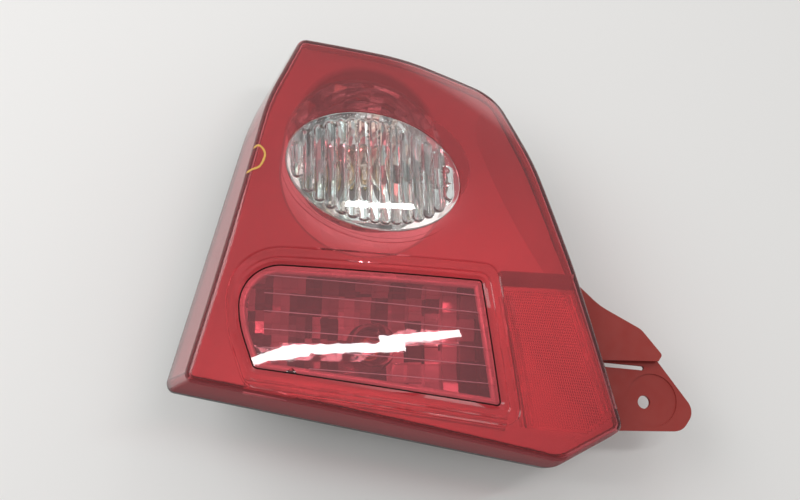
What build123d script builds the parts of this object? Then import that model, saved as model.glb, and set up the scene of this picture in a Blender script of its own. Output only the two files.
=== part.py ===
"""Rear lamp cluster of a small car: red lens, clear turn window, two lit bowls and a screw bracket."""

import os
from functools import partial
from math import asin, cos, degrees, hypot, radians, sin, sqrt, tan

from build123d import *

os.makedirs("parts", exist_ok=True)

# Frame: millimetres, +Z the way the lens faces, +Y up and +X inboard on the car.
# The origin is the screw hole of the mounting bracket, on the dished seat of the screw.

# Heights along Z
LENS_TOP = 60.0
SEAM_Z = 14.0
FLANGE_Z = 6.0
PAN_Z = 0.8
REAR_Z = -46.0
SIDE_TOP = LENS_TOP + 6.0
DEEP_Z = -30.0
REACH = 900.0
NEAR = 0.05

# Outline of the lens at the seam, anticlockwise from the lower outboard corner
OUTLINE = [
    Vector(-278.5, 0.5),
    Vector(-63.0, -39.8),
    Vector(-23.0, -19.2),
    Vector(-50.5, 73.0),
    Vector(-71.0, 134.0),
    Vector(-93.2, 177.9),
    Vector(-149.5, 196.0),
    Vector(-212.5, 203.5),
    Vector(-238.0, 153.0),
]
OUTLINE_RADII = [5.0, 16.0, 6.0, 200.0, 160.0, 30.0, 150.0, 6.0, 140.0]
OUTLINE_DRAFT = [3.5, 8.0, 10.0, 10.0, 10.0, 8.0, 8.0, 9.0, 12.5]
MIN_RADIUS = 0.8

# Domed front of the lens: a wide crown that rolls off towards the inboard edge
DOME_X = -214.0
DOME_Y = 9.0
CROWN_R = 750.0
CROWN_REACH = 165.0
SHOULDER_R = 110.0
SHOULDER_END = 60.0
EDGE_R = 4.5

# Lens and its joint with the housing
LENS_WALL = 3.0
TONGUE_IN = 1.4
TONGUE_Z = 9.8
GROOVE_CLEAR = 0.2
GROOVE_Z = 8.6

# Clear turn window
TURN_X = -171.0
TURN_Y = 118.5
TURN_A = 49.0
TURN_B = 34.5
TURN_TILT = -9.8
TURN_PROUD = 0.8
TURN_WALL = 2.6
TURN_LIP_R = 1.0
FLUTE_MARGIN = 4.0
FLUTE_COUNT = 15
FLUTE_DEPTH = 1.6
FLUTE_ROOT = 0.6
FLUTE_SLOPE = 0.158

# Rounded bead in the red lens around the turn window, wider below it
BEAD_Y = TURN_Y - 2.6
BEAD_A = TURN_A + 2.4
BEAD_B = TURN_B + 4.0
BEAD_W = 2.2
BEAD_RISE = 1.1

# Brake window, anticlockwise from its upper outboard corner
WINDOW = [
    Vector(-245.5, 65.5),
    Vector(-243.5, 30.0),
    Vector(-235.0, 6.5),
    Vector(-99.0, -10.5),
    Vector(-109.0, 62.0),
]
WINDOW_RADII = [24.0, 60.0, 5.0, 4.0, 4.0]
FRAME_WIDTH = [4.0, 4.5, 7.6, 7.5, 7.0]
LEDGE_WIDTH = [1.6, 1.6, 4.2, 2.0, 1.8]
FRAME_STEP = 0.9
LEDGE_STEP = 1.7
WINDOW_STEP = 3.6
FRAME_BEVEL = 0.7
LEDGE_BEVEL = 0.6
WINDOW_BEVEL = 1.7
PANE_INSET = 1.8
WINDOW_BACK = 6.2
WINDOW_LAP = 1.0
RIB_COUNT = 8
RIB_PITCH = 9.5
RIB_WIDTH = 0.6
RIB_DEPTH = 0.6

# Prismatic reflex panel
REFLEX = [
    Vector(-99.0, 57.0),
    Vector(-87.0, -20.5),
    Vector(-51.0, -23.0),
    Vector(-33.0, -12.0),
    Vector(-56.0, 58.0),
]
REFLEX_CORNER = 3.0
REFLEX_WALL = 3.2
PRISM_CENTRE = Vector(-64.0, 17.0)
PRISM_COLUMNS = 12
PRISM_ROWS = 13
PRISM_PITCH = 8.0
PRISM_DEPTH = 1.4
PRISM_GAP = 1.2

# Bezel and bowls behind the lens
BEZEL_DROP = 9.0
BEZEL_WALL = 1.8
BEZEL_INSET = 4.4
FOLD_START = Vector(-70.4, 67.2, 34.5)
FOLD_END = Vector(-100.3, 131.5, 30.5)
FOLD_SLOPE = 31.0
BOWL_X = -173.0
BOWL_Y = 130.0
BOWL_STRETCH = 16.0
BOWL_R = 57.5
BOWL_RIM_Z = 54.0
BOWL_THROAT_R = 37.0
BOWL_THROAT_Z = 26.0
BOWL_BELLY_R = 31.0
BOWL_BELLY_Z = 5.0
BOWL_BELLY_LEAN = 40.0
BOWL_FLOOR_R = 18.0
BOWL_FLOOR_Z = -6.0
BOWL_WALL = 2.0
STOP_X = -166.0
STOP_Y = 27.0
STOP_FLOOR_Z = 5.8
STOP_SPREAD = 200.0
STOP_INSET = 1.5
STOP_WALL = 2.0
FACET_COLUMNS = 16
FACET_ROWS = 8
FACET_TILT = 0.8

# Tabs and bosses that carry the bowls
TAB_Z = 10.0
TAB_WALL = 2.5
TAB_WIDTH = 9.0
TAB_ROOT = 0.3
BOSS_R = 4.2
SCREW_R = 1.5
SCREW_CLEAR = 0.4
HEAD_R = 3.2
HEAD_H = 2.2
DRIVE_L = 3.8
DRIVE_W = 0.8
SCREW_REACH = 7.0
TURN_TAB_REACH = 52.0
STOP_TAB_TOP_Y = 70.5
STOP_TAB_LOW_Y = -8.8

# Bulbs and their sockets
BULB_TIP_Z = 31.0
GLOBE_R = 12.5
GLASS_WALL = 0.8
NECK_R = 6.6
CAP_R = 7.5
CAP_TOP_Z = -4.0
CAP_LOW_Z = -20.5
CAP_PIN_R = 1.0
CAP_PIN_REACH = 8.8
CAP_CLEAR = 0.25
CAP_FOOT_R = 2.5
FILAMENT_Z = 19.0
FILAMENT_STEP = 2.5
FILAMENT_GAP = 3.2
COIL_L = 7.0
COIL_R = 0.9
WIRE_W = 0.9
STEM_R = 4.5
STEM_H = 6.0
STEM_GRIP = 1.0
SOCKET_NECK_R = 13.5
SOCKET_HOLE_R = 14.0
SOCKET_TOP_Z = -7.0
COLLAR_R = 18.5
COLLAR_Z = -14.0
SEAL_R = 18.0
SEAL_H = 2.0
SOCKET_FLANGE_R = 19.0
SOCKET_FLANGE_H = 3.0
SOCKET_BODY_R = 15.0
SOCKET_BODY_Z = -32.0
GRIP_W = 5.0
GRIP_L = 37.0
INLET_L = 22.0
INLET_W = 14.0
INLET_WALL = 1.6
INLET_CORNER = 2.0
INLET_DEPTH = 11.0
BLADE_L = 2.8
BLADE_W = 0.8
BLADE_PITCH = 5.2
BLADE_REACH = 8.0

# Housing
PAN_INSET = 4.0
PAN_WALL = 2.4
CUP_R = 41.0
CUP_Z = -11.0
PIN_BOSS_R = 8.5
PIN_BOSS_Z = -6.0
STIFFENER_PITCH = 15.0
STIFFENER_COUNT = 15
STIFFENER_W = 1.8
STIFFENER_H = 3.0
STIFFENER_GAP = 1.5
BRACKET_ZONE_X = -86.0
BRACKET_ZONE_TOP_Y = 90.0

# Locating pins
PIN_R = 4.0
PIN_FLANGE_R = 8.0
PIN_FLANGE_H = 2.0
PIN_STUD_R = 3.0
PIN_STUD_L = 5.0
PIN_TIP = 2.0
UPPER_PIN = Vector(-96.0, 112.0)
OUTER_PIN = Vector(-246.0, 62.0)

# Mounting bracket, a stamped plate
PLATE = 2.5
PLATE_BACK = PAN_Z - PLATE
FIN_Z = FLANGE_Z
HOLE_R = 3.9
DISH_X = 4.5
DISH_Y = 1.0
DISH_R = 17.0
DISH_DEPTH = PAN_Z
STEP_Y = 26.2
EAR = [
    Vector(-82.0, -12.0),
    Vector(-30.0, -17.0),
    Vector(23.0, -17.0),
    Vector(31.5, -5.0),
    Vector(8.0, STEP_Y),
    Vector(-82.0, STEP_Y),
]
EAR_RADII = [6.0, 6.0, 9.0, 9.0, 0.0, 6.0]
STEP = [
    Vector(-60.0, STEP_Y - PLATE),
    Vector(8.0, STEP_Y - PLATE),
    Vector(8.0, STEP_Y),
    Vector(-60.0, STEP_Y),
]
FIN = [
    Vector(-60.0, STEP_Y - PLATE),
    Vector(8.0, STEP_Y - PLATE),
    Vector(10.5, 27.5),
    Vector(-2.0, 42.5),
    Vector(-27.5, 56.0),
    Vector(-60.0, 86.0),
]
FIN_RADII = [0.0, 0.0, 2.0, 12.0, 40.0, 0.0]
SLIT_L = 34.0
SLIT_W = 2.6
SLIT_END_X = 0.8
SLIT_TILT = -4.0
BRACKET_CLEAR = 0.3
BRACKET_SCREW_X = -68.0
BRACKET_SCREW_Y = (-7.0, 15.0)

# Breather caps and rear gasket
VENT_R = 4.0
VENT_BORE_R = 2.5
VENT_CAP_R = 6.5
VENT_END_Z = -8.0
VENT_GAP = 2.0
VENT_ROOF = 2.0
VENT_PLACES = [Vector(-205.0, 68.0), Vector(-137.0, 78.0)]
GASKET_X = -172.0
GASKET_Y = 92.0
GASKET_A = 64.0
GASKET_B = 100.0
GASKET_W = 8.0
GASKET_H = 4.0


def move_sides(corners, insets):
    """Corners of an anticlockwise outline after each side moves inward by its own amount."""
    sides = []
    for start, end, inset in zip(corners, corners[1:] + corners[:1], insets):
        along = (end - start).normalized()
        inward = Vector(-along.Y, along.X)
        sides.append((start + inward * inset, along))
    moved = []
    for (point, along), (other, turn) in zip(sides[-1:] + sides[:-1], sides):
        gap = other - point
        run = (gap.X * turn.Y - gap.Y * turn.X) / (along.X * turn.Y - along.Y * turn.X)
        moved.append(point + along * run)
    return moved


def rounded(z, corners, radii):
    """Flat face at height z with rounded corners."""
    with BuildSketch(Plane.XY.offset(z)) as face:
        with BuildLine():
            FilletPolyline(*corners, radius=radii, close=True)
        make_face()
    return face.sketch


def lens_outline(z, inset):
    """Section of the drafted lens sides at height z, moved inward by inset."""
    rise = max(z - SEAM_Z, 0.0)
    insets = [inset + rise * tan(radians(draft)) for draft in OUTLINE_DRAFT]
    radii = [max(radius - inset, MIN_RADIUS) for radius in OUTLINE_RADII]
    return rounded(z, move_sides(OUTLINE, insets), radii)


def window_outline(z, grow):
    """Brake window moved outward side by side."""
    radii = [radius + min(grow) for radius in WINDOW_RADII]
    return rounded(z, move_sides(WINDOW, [-side for side in grow]), radii)


def dome(drop):
    """Everything under the domed front, taken at a depth below it."""
    crown_angle = degrees(asin(CROWN_REACH / CROWN_R))
    with BuildPart() as solid:
        with BuildSketch(Plane((DOME_X, DOME_Y, 0), x_dir=(0, -1, 0), z_dir=(-1, 0, 0))):
            with BuildLine():
                crown = JernArc((0, LENS_TOP - drop), (1, 0), CROWN_R - drop, -crown_angle)
                shoulder = JernArc(
                    crown @ 1, crown % 1, SHOULDER_R - drop, crown_angle - SHOULDER_END
                )
                end = shoulder @ 1
                Polyline(end, (end.X, DEEP_Z), (0, DEEP_Z), (0, LENS_TOP - drop))
            make_face()
        revolve(axis=Axis((DOME_X, DOME_Y, 0), (0, 0, 1)))
    return solid.part


def dome_height(x, y):
    """Height of the domed front at a place in plan."""
    reach = hypot(x - DOME_X, y - DOME_Y)
    if reach <= CROWN_REACH:
        return LENS_TOP - CROWN_R + sqrt(CROWN_R**2 - reach**2)
    crown_sine = CROWN_REACH / CROWN_R
    crown_drop = CROWN_R * (1 - sqrt(1 - crown_sine**2))
    sine = crown_sine + (reach - CROWN_REACH) / SHOULDER_R
    roll_drop = SHOULDER_R * (sqrt(1 - crown_sine**2) - sqrt(1 - sine**2))
    return LENS_TOP - crown_drop - roll_drop


def is_upright(face):
    """Whether a face stands along Z."""
    return abs(face.normal_at().Z) < NEAR


def lies_at(edge, depth):
    """Whether an edge runs at a depth under the domed front."""
    heights = [(dome_height(point.X, point.Y) - depth, point.Z) for point in (edge @ 0, edge @ 0.5)]
    return all(abs(wanted - height) < NEAR for wanted, height in heights)


def round_rim(block, radius):
    """Round the edge between the domed front and the sides of a lens block."""
    sides = block.faces().filter_by(
        lambda face: abs(face.bounding_box().min.Z - SEAM_Z) < NEAR
        and face.bounding_box().max.Z > SEAM_Z + NEAR
    )
    rim = sides.edges().filter_by(lambda edge: edge.bounding_box().min.Z > SEAM_Z + NEAR)
    fillet(rim, radius)


def layer(face, upper, lower):
    """Part of a prism between two depths under the domed front."""
    with BuildPart() as slab:
        extrude(face, amount=SIDE_TOP)
        add(dome(upper), mode=Mode.INTERSECT)
        add(dome(lower), mode=Mode.SUBTRACT)
    return slab.part


def lens_block(inset, drop):
    """Drafted block under the domed front, standing on the seam."""
    low = lens_outline(SEAM_Z, inset)
    high = lens_outline(SIDE_TOP, inset)
    with BuildPart() as block:
        loft([low.face(), high.face()], ruled=True)
        add(dome(drop), mode=Mode.INTERSECT)
    return block.part


def bowl_block(grow):
    """Turn bowl as a solid with a flared mouth, widened by grow: two turned ends and a straight middle."""
    floor = (BOWL_FLOOR_R, BOWL_FLOOR_Z - grow)
    lean = radians(BOWL_BELLY_LEAN)
    belly = (BOWL_BELLY_R + grow * cos(lean), BOWL_BELLY_Z - grow * sin(lean))
    throat = (BOWL_THROAT_R + grow, BOWL_THROAT_Z)
    rim = (BOWL_R + grow, BOWL_RIM_Z)
    with BuildPart() as block:
        for end in (-1, 1):
            centre = Vector(BOWL_X, BOWL_Y + end * BOWL_STRETCH / 2)
            with BuildSketch(Plane(centre, x_dir=(1, 0, 0), z_dir=(0, -1, 0))) as half:
                with BuildLine():
                    ThreePointArc(floor, belly, throat)
                    Polyline(throat, rim, (0, BOWL_RIM_Z), (0, floor[1]), floor)
                make_face()
            revolve(axis=Axis(centre, (0, 0, 1)))
        with BuildSketch(Plane(centre, x_dir=(1, 0, 0), z_dir=(0, -1, 0))):
            add(half.sketch_local)
            mirror(about=Plane.YZ)
        extrude(amount=BOWL_STRETCH)
    return block.part


def bezel_core(drop):
    """Everything under the bezel, which folds down along its inboard side."""
    along = (FOLD_END - FOLD_START).normalized()
    level = Vector(along.Y, -along.X).normalized()
    fall = level * cos(radians(FOLD_SLOPE)) - Vector(0, 0, sin(radians(FOLD_SLOPE)))
    fold = Plane(FOLD_START, x_dir=along, z_dir=along.cross(fall) * -1)
    with BuildPart() as core:
        add(dome(drop))
        with BuildSketch(fold.offset(BEZEL_DROP - drop)):
            Rectangle(REACH, REACH)
        extrude(amount=-REACH, mode=Mode.INTERSECT)
    return core.part


def facet_block(grow):
    """Space above the stepped facets of the stop light, widened and lowered by grow."""
    xs = [corner.X for corner in WINDOW]
    ys = [corner.Y for corner in WINDOW]
    width = (max(xs) - min(xs)) / FACET_COLUMNS
    depth = (max(ys) - min(ys)) / FACET_ROWS
    with BuildPart() as block:
        for column in range(FACET_COLUMNS):
            x = min(xs) + column * width
            points = []
            for row in range(FACET_ROWS):
                tilt = FACET_TILT if (row + column) % 2 else -FACET_TILT
                for end, lift in ((0, tilt), (1, -tilt)):
                    y = min(ys) + (row + end) * depth
                    reach = hypot(x + width / 2 - STOP_X, y - STOP_Y)
                    points.append((y, STOP_FLOOR_Z + reach**2 / STOP_SPREAD + lift - grow))
            points = [(points[0][0] - grow, points[0][1])] + points
            points = points + [(points[-1][0] + grow, points[-1][1])]
            points = points + [(points[-1][0], SIDE_TOP), (points[0][0], SIDE_TOP)]
            with BuildSketch(Plane.YZ.offset(x - grow)):
                Polygon(*points, align=None)
            extrude(amount=width + 2 * grow)
    return block.part


def screws(places, seat_z, direction):
    """Pan-head screws with their heads on seat_z and their shanks along direction."""
    with BuildPart() as group:
        for place in places:
            seat = Plane((place.X, place.Y, seat_z), z_dir=(0, 0, -direction))
            with BuildSketch(seat):
                Circle(HEAD_R)
            extrude(amount=HEAD_H)
            with BuildSketch(seat):
                Circle(SCREW_R)
            extrude(amount=-SCREW_REACH)
            with BuildSketch(seat.offset(HEAD_H)):
                Rectangle(DRIVE_L, DRIVE_W)
                Rectangle(DRIVE_W, DRIVE_L)
            extrude(amount=-HEAD_H / 2, mode=Mode.SUBTRACT)
    return group.part


def bulb_glass(x, y):
    """Blown globe on a narrow neck, open where the cap holds it."""
    globe_z = BULB_TIP_Z - GLOBE_R
    neck_z = globe_z - sqrt(GLOBE_R**2 - NECK_R**2)
    inner_r = GLOBE_R - GLASS_WALL
    inner_neck = NECK_R - GLASS_WALL
    inner_neck_z = globe_z - sqrt(inner_r**2 - inner_neck**2)
    with BuildPart() as glass:
        with BuildSketch(Plane((x, y, 0), x_dir=(1, 0, 0), z_dir=(0, -1, 0))):
            with BuildLine():
                Line((inner_neck, CAP_TOP_Z), (NECK_R, CAP_TOP_Z))
                Line((NECK_R, CAP_TOP_Z), (NECK_R, neck_z))
                ThreePointArc((NECK_R, neck_z), (GLOBE_R, globe_z), (0, BULB_TIP_Z))
                Line((0, BULB_TIP_Z), (0, BULB_TIP_Z - GLASS_WALL))
                ThreePointArc(
                    (0, BULB_TIP_Z - GLASS_WALL), (inner_r, globe_z), (inner_neck, inner_neck_z)
                )
                Line((inner_neck, inner_neck_z), (inner_neck, CAP_TOP_Z))
            make_face()
        revolve(axis=Axis((x, y, 0), (0, 0, 1)))
    return glass.part


def bulb_cap(x, y):
    """Metal cap with its two bayonet pins and the contact at its foot."""
    with BuildPart() as cap:
        with BuildSketch(Plane((x, y, CAP_LOW_Z))):
            Circle(CAP_R)
        extrude(amount=CAP_TOP_Z - CAP_LOW_Z)
        with BuildSketch(Plane((x, y, CAP_LOW_Z))):
            Circle(CAP_FOOT_R)
        extrude(amount=-CAP_PIN_R)
        pin_z = (CAP_TOP_Z + CAP_LOW_Z) / 2
        with BuildSketch(Plane((x, y, pin_z), x_dir=(0, 1, 0), z_dir=(1, 0, 0))):
            Circle(CAP_PIN_R)
        extrude(amount=CAP_PIN_REACH, both=True)
    return cap.part


def filaments(x, y, coils):
    """Glass stem with lead wires and one coil for each light."""
    stem_top = CAP_TOP_Z + STEM_H
    wire_foot = stem_top - STEM_GRIP
    with BuildPart() as mount:
        with BuildSketch(Plane((x, y, CAP_TOP_Z))):
            Circle(STEM_R)
        extrude(amount=STEM_H)
        for index in range(coils):
            row = y + (index - (coils - 1) / 2) * FILAMENT_GAP
            top = FILAMENT_Z + index * FILAMENT_STEP
            with BuildSketch(Plane((x, row, wire_foot))):
                with GridLocations(COIL_L, 1, 2, 1):
                    Rectangle(WIRE_W, WIRE_W)
            extrude(amount=top - wire_foot)
            with BuildSketch(Plane((x, row, top), x_dir=(0, 1, 0), z_dir=(1, 0, 0))):
                Circle(COIL_R)
            extrude(amount=COIL_L / 2, both=True)
    return mount.part


def bulb_socket(x, y):
    """Quarter-turn bulb holder with a flange, a cap bore and a connector inlet."""
    flange_z = COLLAR_Z - SEAL_H
    with BuildPart() as socket:
        with BuildSketch(Plane((x, y, SOCKET_TOP_Z))):
            Circle(SOCKET_NECK_R)
        extrude(amount=flange_z - SOCKET_TOP_Z)
        with BuildSketch(Plane((x, y, flange_z))):
            Circle(SOCKET_FLANGE_R)
        extrude(amount=-SOCKET_FLANGE_H)
        with BuildSketch(Plane((x, y, flange_z))):
            Circle(SOCKET_BODY_R)
        extrude(amount=SOCKET_BODY_Z - flange_z)
        with BuildSketch(Plane((x, y, flange_z - SOCKET_FLANGE_H))):
            Rectangle(GRIP_W, GRIP_L)
        extrude(amount=SOCKET_BODY_Z - flange_z + SOCKET_FLANGE_H)
        with BuildSketch(Plane((x, y, SOCKET_BODY_Z))):
            RectangleRounded(INLET_L, INLET_W, INLET_CORNER)
        extrude(amount=REAR_Z - SOCKET_BODY_Z)
        with BuildSketch(Plane((x, y, REAR_Z))):
            RectangleRounded(INLET_L - 2 * INLET_WALL, INLET_W - 2 * INLET_WALL, INLET_CORNER / 2)
        extrude(amount=INLET_DEPTH, mode=Mode.SUBTRACT)
        with BuildSketch(Plane((x, y, SOCKET_TOP_Z))):
            Circle(CAP_R + CAP_CLEAR)
            Rectangle(2 * (CAP_PIN_REACH + CAP_CLEAR), 2 * (CAP_PIN_R + CAP_CLEAR))
        extrude(amount=CAP_LOW_Z - CAP_PIN_R - SOCKET_TOP_Z, mode=Mode.SUBTRACT)
    return socket.part


def socket_seal(x, y):
    """Rubber ring between the housing collar and the socket flange."""
    with BuildPart() as ring:
        with BuildSketch(Plane((x, y, COLLAR_Z))):
            Circle(SEAL_R)
            Circle(SOCKET_HOLE_R, mode=Mode.SUBTRACT)
        extrude(amount=-SEAL_H)
    return ring.part


def contact_blades(x, y, count):
    """Flat pins that stand in the connector inlet."""
    with BuildPart() as blades:
        with BuildSketch(Plane((x, y, REAR_Z + INLET_DEPTH))):
            with GridLocations(BLADE_PITCH, 1, count, 1):
                Rectangle(BLADE_L, BLADE_W)
        extrude(amount=-BLADE_REACH)
    return blades.part


def locating_pin(place):
    """Plain pin with a flange and a stud that sits in the housing boss."""
    with BuildPart() as pin:
        with BuildSketch(Plane((place.X, place.Y, PIN_BOSS_Z))):
            Circle(PIN_STUD_R)
        extrude(amount=PIN_STUD_L)
        with BuildSketch(Plane((place.X, place.Y, PIN_BOSS_Z))):
            RegularPolygon(PIN_FLANGE_R, 6)
        extrude(amount=-PIN_FLANGE_H)
        with BuildSketch(Plane((place.X, place.Y, PIN_BOSS_Z))):
            Circle(PIN_R)
        extrude(amount=REAR_Z - PIN_BOSS_Z)
        chamfer(pin.edges().group_by(Axis.Z)[0], PIN_TIP)
    return pin.part


# Shared outlines of the windows, drawn on the back plane
window_pane = window_outline(PAN_Z, [-PANE_INSET] * len(WINDOW))
window_ledge = window_outline(PAN_Z, LEDGE_WIDTH)
window_frame = window_outline(PAN_Z, FRAME_WIDTH)
window_pad = window_outline(PAN_Z, [side + WINDOW_LAP for side in FRAME_WIDTH])
stop_opening = window_outline(PAN_Z, [-STOP_INSET] * len(WINDOW))
stop_tube = window_outline(PAN_Z, [STOP_WALL - STOP_INSET] * len(WINDOW))
window_steps = [
    (window_frame, FRAME_STEP, FRAME_STEP, FRAME_BEVEL),
    (window_ledge, LEDGE_STEP, LEDGE_STEP - FRAME_STEP, LEDGE_BEVEL),
    (window_pane, WINDOW_STEP, WINDOW_STEP - LEDGE_STEP, WINDOW_BEVEL),
]
reflex_face = rounded(PAN_Z, REFLEX, REFLEX_CORNER)
with BuildSketch() as turn_oval:
    with Locations((TURN_X, TURN_Y)):
        Ellipse(TURN_A, TURN_B, rotation=TURN_TILT)
with BuildSketch() as flute_oval:
    with Locations((TURN_X, TURN_Y)):
        Ellipse(TURN_A - FLUTE_MARGIN, TURN_B - FLUTE_MARGIN, rotation=TURN_TILT)
with BuildSketch() as bead_ring:
    with Locations((TURN_X, BEAD_Y)):
        Ellipse(BEAD_A, BEAD_B, rotation=TURN_TILT)
        Ellipse(BEAD_A - BEAD_W, BEAD_B - BEAD_W, rotation=TURN_TILT, mode=Mode.SUBTRACT)
with BuildSketch() as window_ribs:
    with Locations((STOP_X, STOP_Y)):
        with GridLocations(1, RIB_PITCH, 1, RIB_COUNT):
            Rectangle(REACH, RIB_WIDTH)
    add(stop_opening, mode=Mode.INTERSECT)
with BuildSketch() as prism_gaps:
    with Locations(PRISM_CENTRE):
        with GridLocations(PRISM_PITCH, 1, PRISM_COLUMNS, 1):
            Rectangle(PRISM_GAP, REACH)
        with GridLocations(1, PRISM_PITCH, 1, PRISM_ROWS):
            Rectangle(REACH, PRISM_GAP)
with BuildSketch(Plane.XY.offset(PAN_Z)) as stiffeners:
    with Locations((GASKET_X, GASKET_Y)):
        with GridLocations(1, STIFFENER_PITCH, 1, STIFFENER_COUNT):
            Rectangle(REACH, STIFFENER_W)
    add(lens_outline(PAN_Z, PAN_INSET), mode=Mode.INTERSECT)
    with Locations((GASKET_X, GASKET_Y)):
        Ellipse(GASKET_A + STIFFENER_GAP, GASKET_B + STIFFENER_GAP, mode=Mode.SUBTRACT)
    with Locations((BRACKET_ZONE_X, BRACKET_ZONE_TOP_Y)):
        Rectangle(REACH, REACH, align=(Align.MIN, Align.MAX), mode=Mode.SUBTRACT)
bezel_back = BEZEL_DROP + BEZEL_WALL
turn_tabs = [Vector(BOWL_X - TURN_TAB_REACH, BOWL_Y), Vector(BOWL_X + TURN_TAB_REACH, BOWL_Y)]
stop_tabs = [Vector(STOP_X, STOP_TAB_TOP_Y), Vector(STOP_X, STOP_TAB_LOW_Y)]
bracket_screw_places = [Vector(BRACKET_SCREW_X, y) for y in BRACKET_SCREW_Y]

# Red lens: drafted sides, domed front, recessed brake window and the tongue that is glued in
with BuildPart() as lens_space:
    add(lens_block(LENS_WALL, LENS_WALL))
    round_rim(lens_space, EDGE_R - LENS_WALL)
with BuildPart() as lens_red:
    add(lens_block(0, 0))
    round_rim(lens_red, EDGE_R)
    extrude(lens_outline(SEAM_Z, TONGUE_IN), amount=TONGUE_Z - SEAM_Z)
    add(lens_space.part, mode=Mode.SUBTRACT)
    extrude(lens_outline(SEAM_Z, LENS_WALL), amount=TONGUE_Z - SEAM_Z, mode=Mode.SUBTRACT)
    add(layer(window_pad, LENS_WALL / 2, WINDOW_BACK))
    add(layer(window_ribs.sketch, LENS_WALL, WINDOW_BACK + RIB_DEPTH))
    for face, depth, step, bevel in window_steps:
        add(layer(face, -EDGE_R, depth), mode=Mode.SUBTRACT)
        walls = lens_red.faces(Select.LAST).filter_by(is_upright)
        chamfer(walls.edges().filter_by(partial(lies_at, depth=depth - step)), bevel)
    add(layer(bead_ring.sketch, -BEAD_RISE, LENS_WALL / 2))
    extrude(turn_oval.sketch, amount=SIDE_TOP, mode=Mode.SUBTRACT)
lens_red.part.label = "lens_red"
export_step(lens_red.part, "parts/lens_red.step")

# Clear turn window: proud of the red lens, with upright convex flutes on its back
with BuildPart() as flutes:
    centre_z = dome_height(TURN_X, TURN_Y)
    flute_plane = Plane((TURN_X, TURN_Y, centre_z), x_dir=(1, 0, 0), z_dir=(0, -1, FLUTE_SLOPE))
    flute_reach = TURN_A - FLUTE_MARGIN
    flute_pitch = 2 * flute_reach / FLUTE_COUNT
    cusps = []
    for index in range(FLUTE_COUNT + 1):
        across = index * flute_pitch - flute_reach
        root = dome_height(TURN_X + across, TURN_Y) - centre_z - TURN_WALL - FLUTE_ROOT
        cusps.append((across, root))
    with BuildSketch(flute_plane):
        with BuildLine():
            for (left, left_v), (right, right_v) in zip(cusps, cusps[1:]):
                middle = ((left + right) / 2, (left_v + right_v) / 2 - FLUTE_DEPTH)
                ThreePointArc((left, left_v), middle, (right, right_v))
            Polyline(cusps[-1], (flute_reach, 0), (-flute_reach, 0), cusps[0])
        make_face()
    extrude(amount=2 * TURN_A, both=True)
    extrude(flute_oval.sketch, amount=SIDE_TOP, mode=Mode.INTERSECT)
    add(dome(0), mode=Mode.INTERSECT)
with BuildPart() as lens_clear:
    add(layer(turn_oval.sketch, -TURN_PROUD, TURN_WALL))
    front = lens_clear.faces().filter_by(lambda face: face.normal_at().Z > 0.5)
    fillet(front.edges(), TURN_LIP_R)
    add(flutes.part)
lens_clear.part.label = "lens_clear"
export_step(lens_clear.part, "parts/lens_clear.step")

# Reflex panel: a plate against the back of the lens with a waffle of prisms
with BuildPart() as reflex_reflector:
    add(layer(reflex_face, LENS_WALL, LENS_WALL + REFLEX_WALL))
    prism_root = LENS_WALL + REFLEX_WALL - PRISM_DEPTH
    add(layer(prism_gaps.sketch, prism_root, 2 * prism_root), mode=Mode.SUBTRACT)
reflex_reflector.part.label = "reflex_reflector"
export_step(reflex_reflector.part, "parts/reflex_reflector.step")

# Bezel: a trim plate that follows the lens, opens at both bowls and has a skirt down to the housing
with BuildPart() as bezel_space:
    add(lens_block(BEZEL_INSET + BEZEL_WALL, bezel_back))
    add(bezel_core(bezel_back), mode=Mode.INTERSECT)
with BuildPart() as bezel:
    add(lens_block(BEZEL_INSET, BEZEL_DROP))
    add(bezel_core(BEZEL_DROP), mode=Mode.INTERSECT)
    add(bezel_space.part, mode=Mode.SUBTRACT)
    add(bowl_block(0), mode=Mode.SUBTRACT)
    extrude(stop_opening, amount=SIDE_TOP, mode=Mode.SUBTRACT)
bezel.part.label = "bezel"
export_step(bezel.part, "parts/bezel.step")

# Turn bowl: a deep bowl with a socket hole and two screw tabs
with BuildPart() as turn_reflector:
    add(bowl_block(BOWL_WALL))
    for place in turn_tabs:
        anchor = place + (Vector(BOWL_X, BOWL_Y) - place) * TAB_ROOT
        with BuildSketch(Plane.XY.offset(TAB_Z)):
            SlotCenterPoint((place + anchor) / 2, place, TAB_WIDTH)
        extrude(amount=TAB_WALL)
    add(bowl_block(0), mode=Mode.SUBTRACT)
    add(bezel_core(bezel_back), mode=Mode.INTERSECT)
    with BuildSketch(Plane.XY.offset(BOWL_FLOOR_Z - BOWL_WALL)):
        with Locations((BOWL_X, BOWL_Y)):
            Circle(SOCKET_HOLE_R)
        with Locations(*turn_tabs):
            Circle(SCREW_R + SCREW_CLEAR)
    extrude(amount=SIDE_TOP, mode=Mode.SUBTRACT)
turn_reflector.part.label = "turn_reflector"
export_step(turn_reflector.part, "parts/turn_reflector.step")

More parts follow.
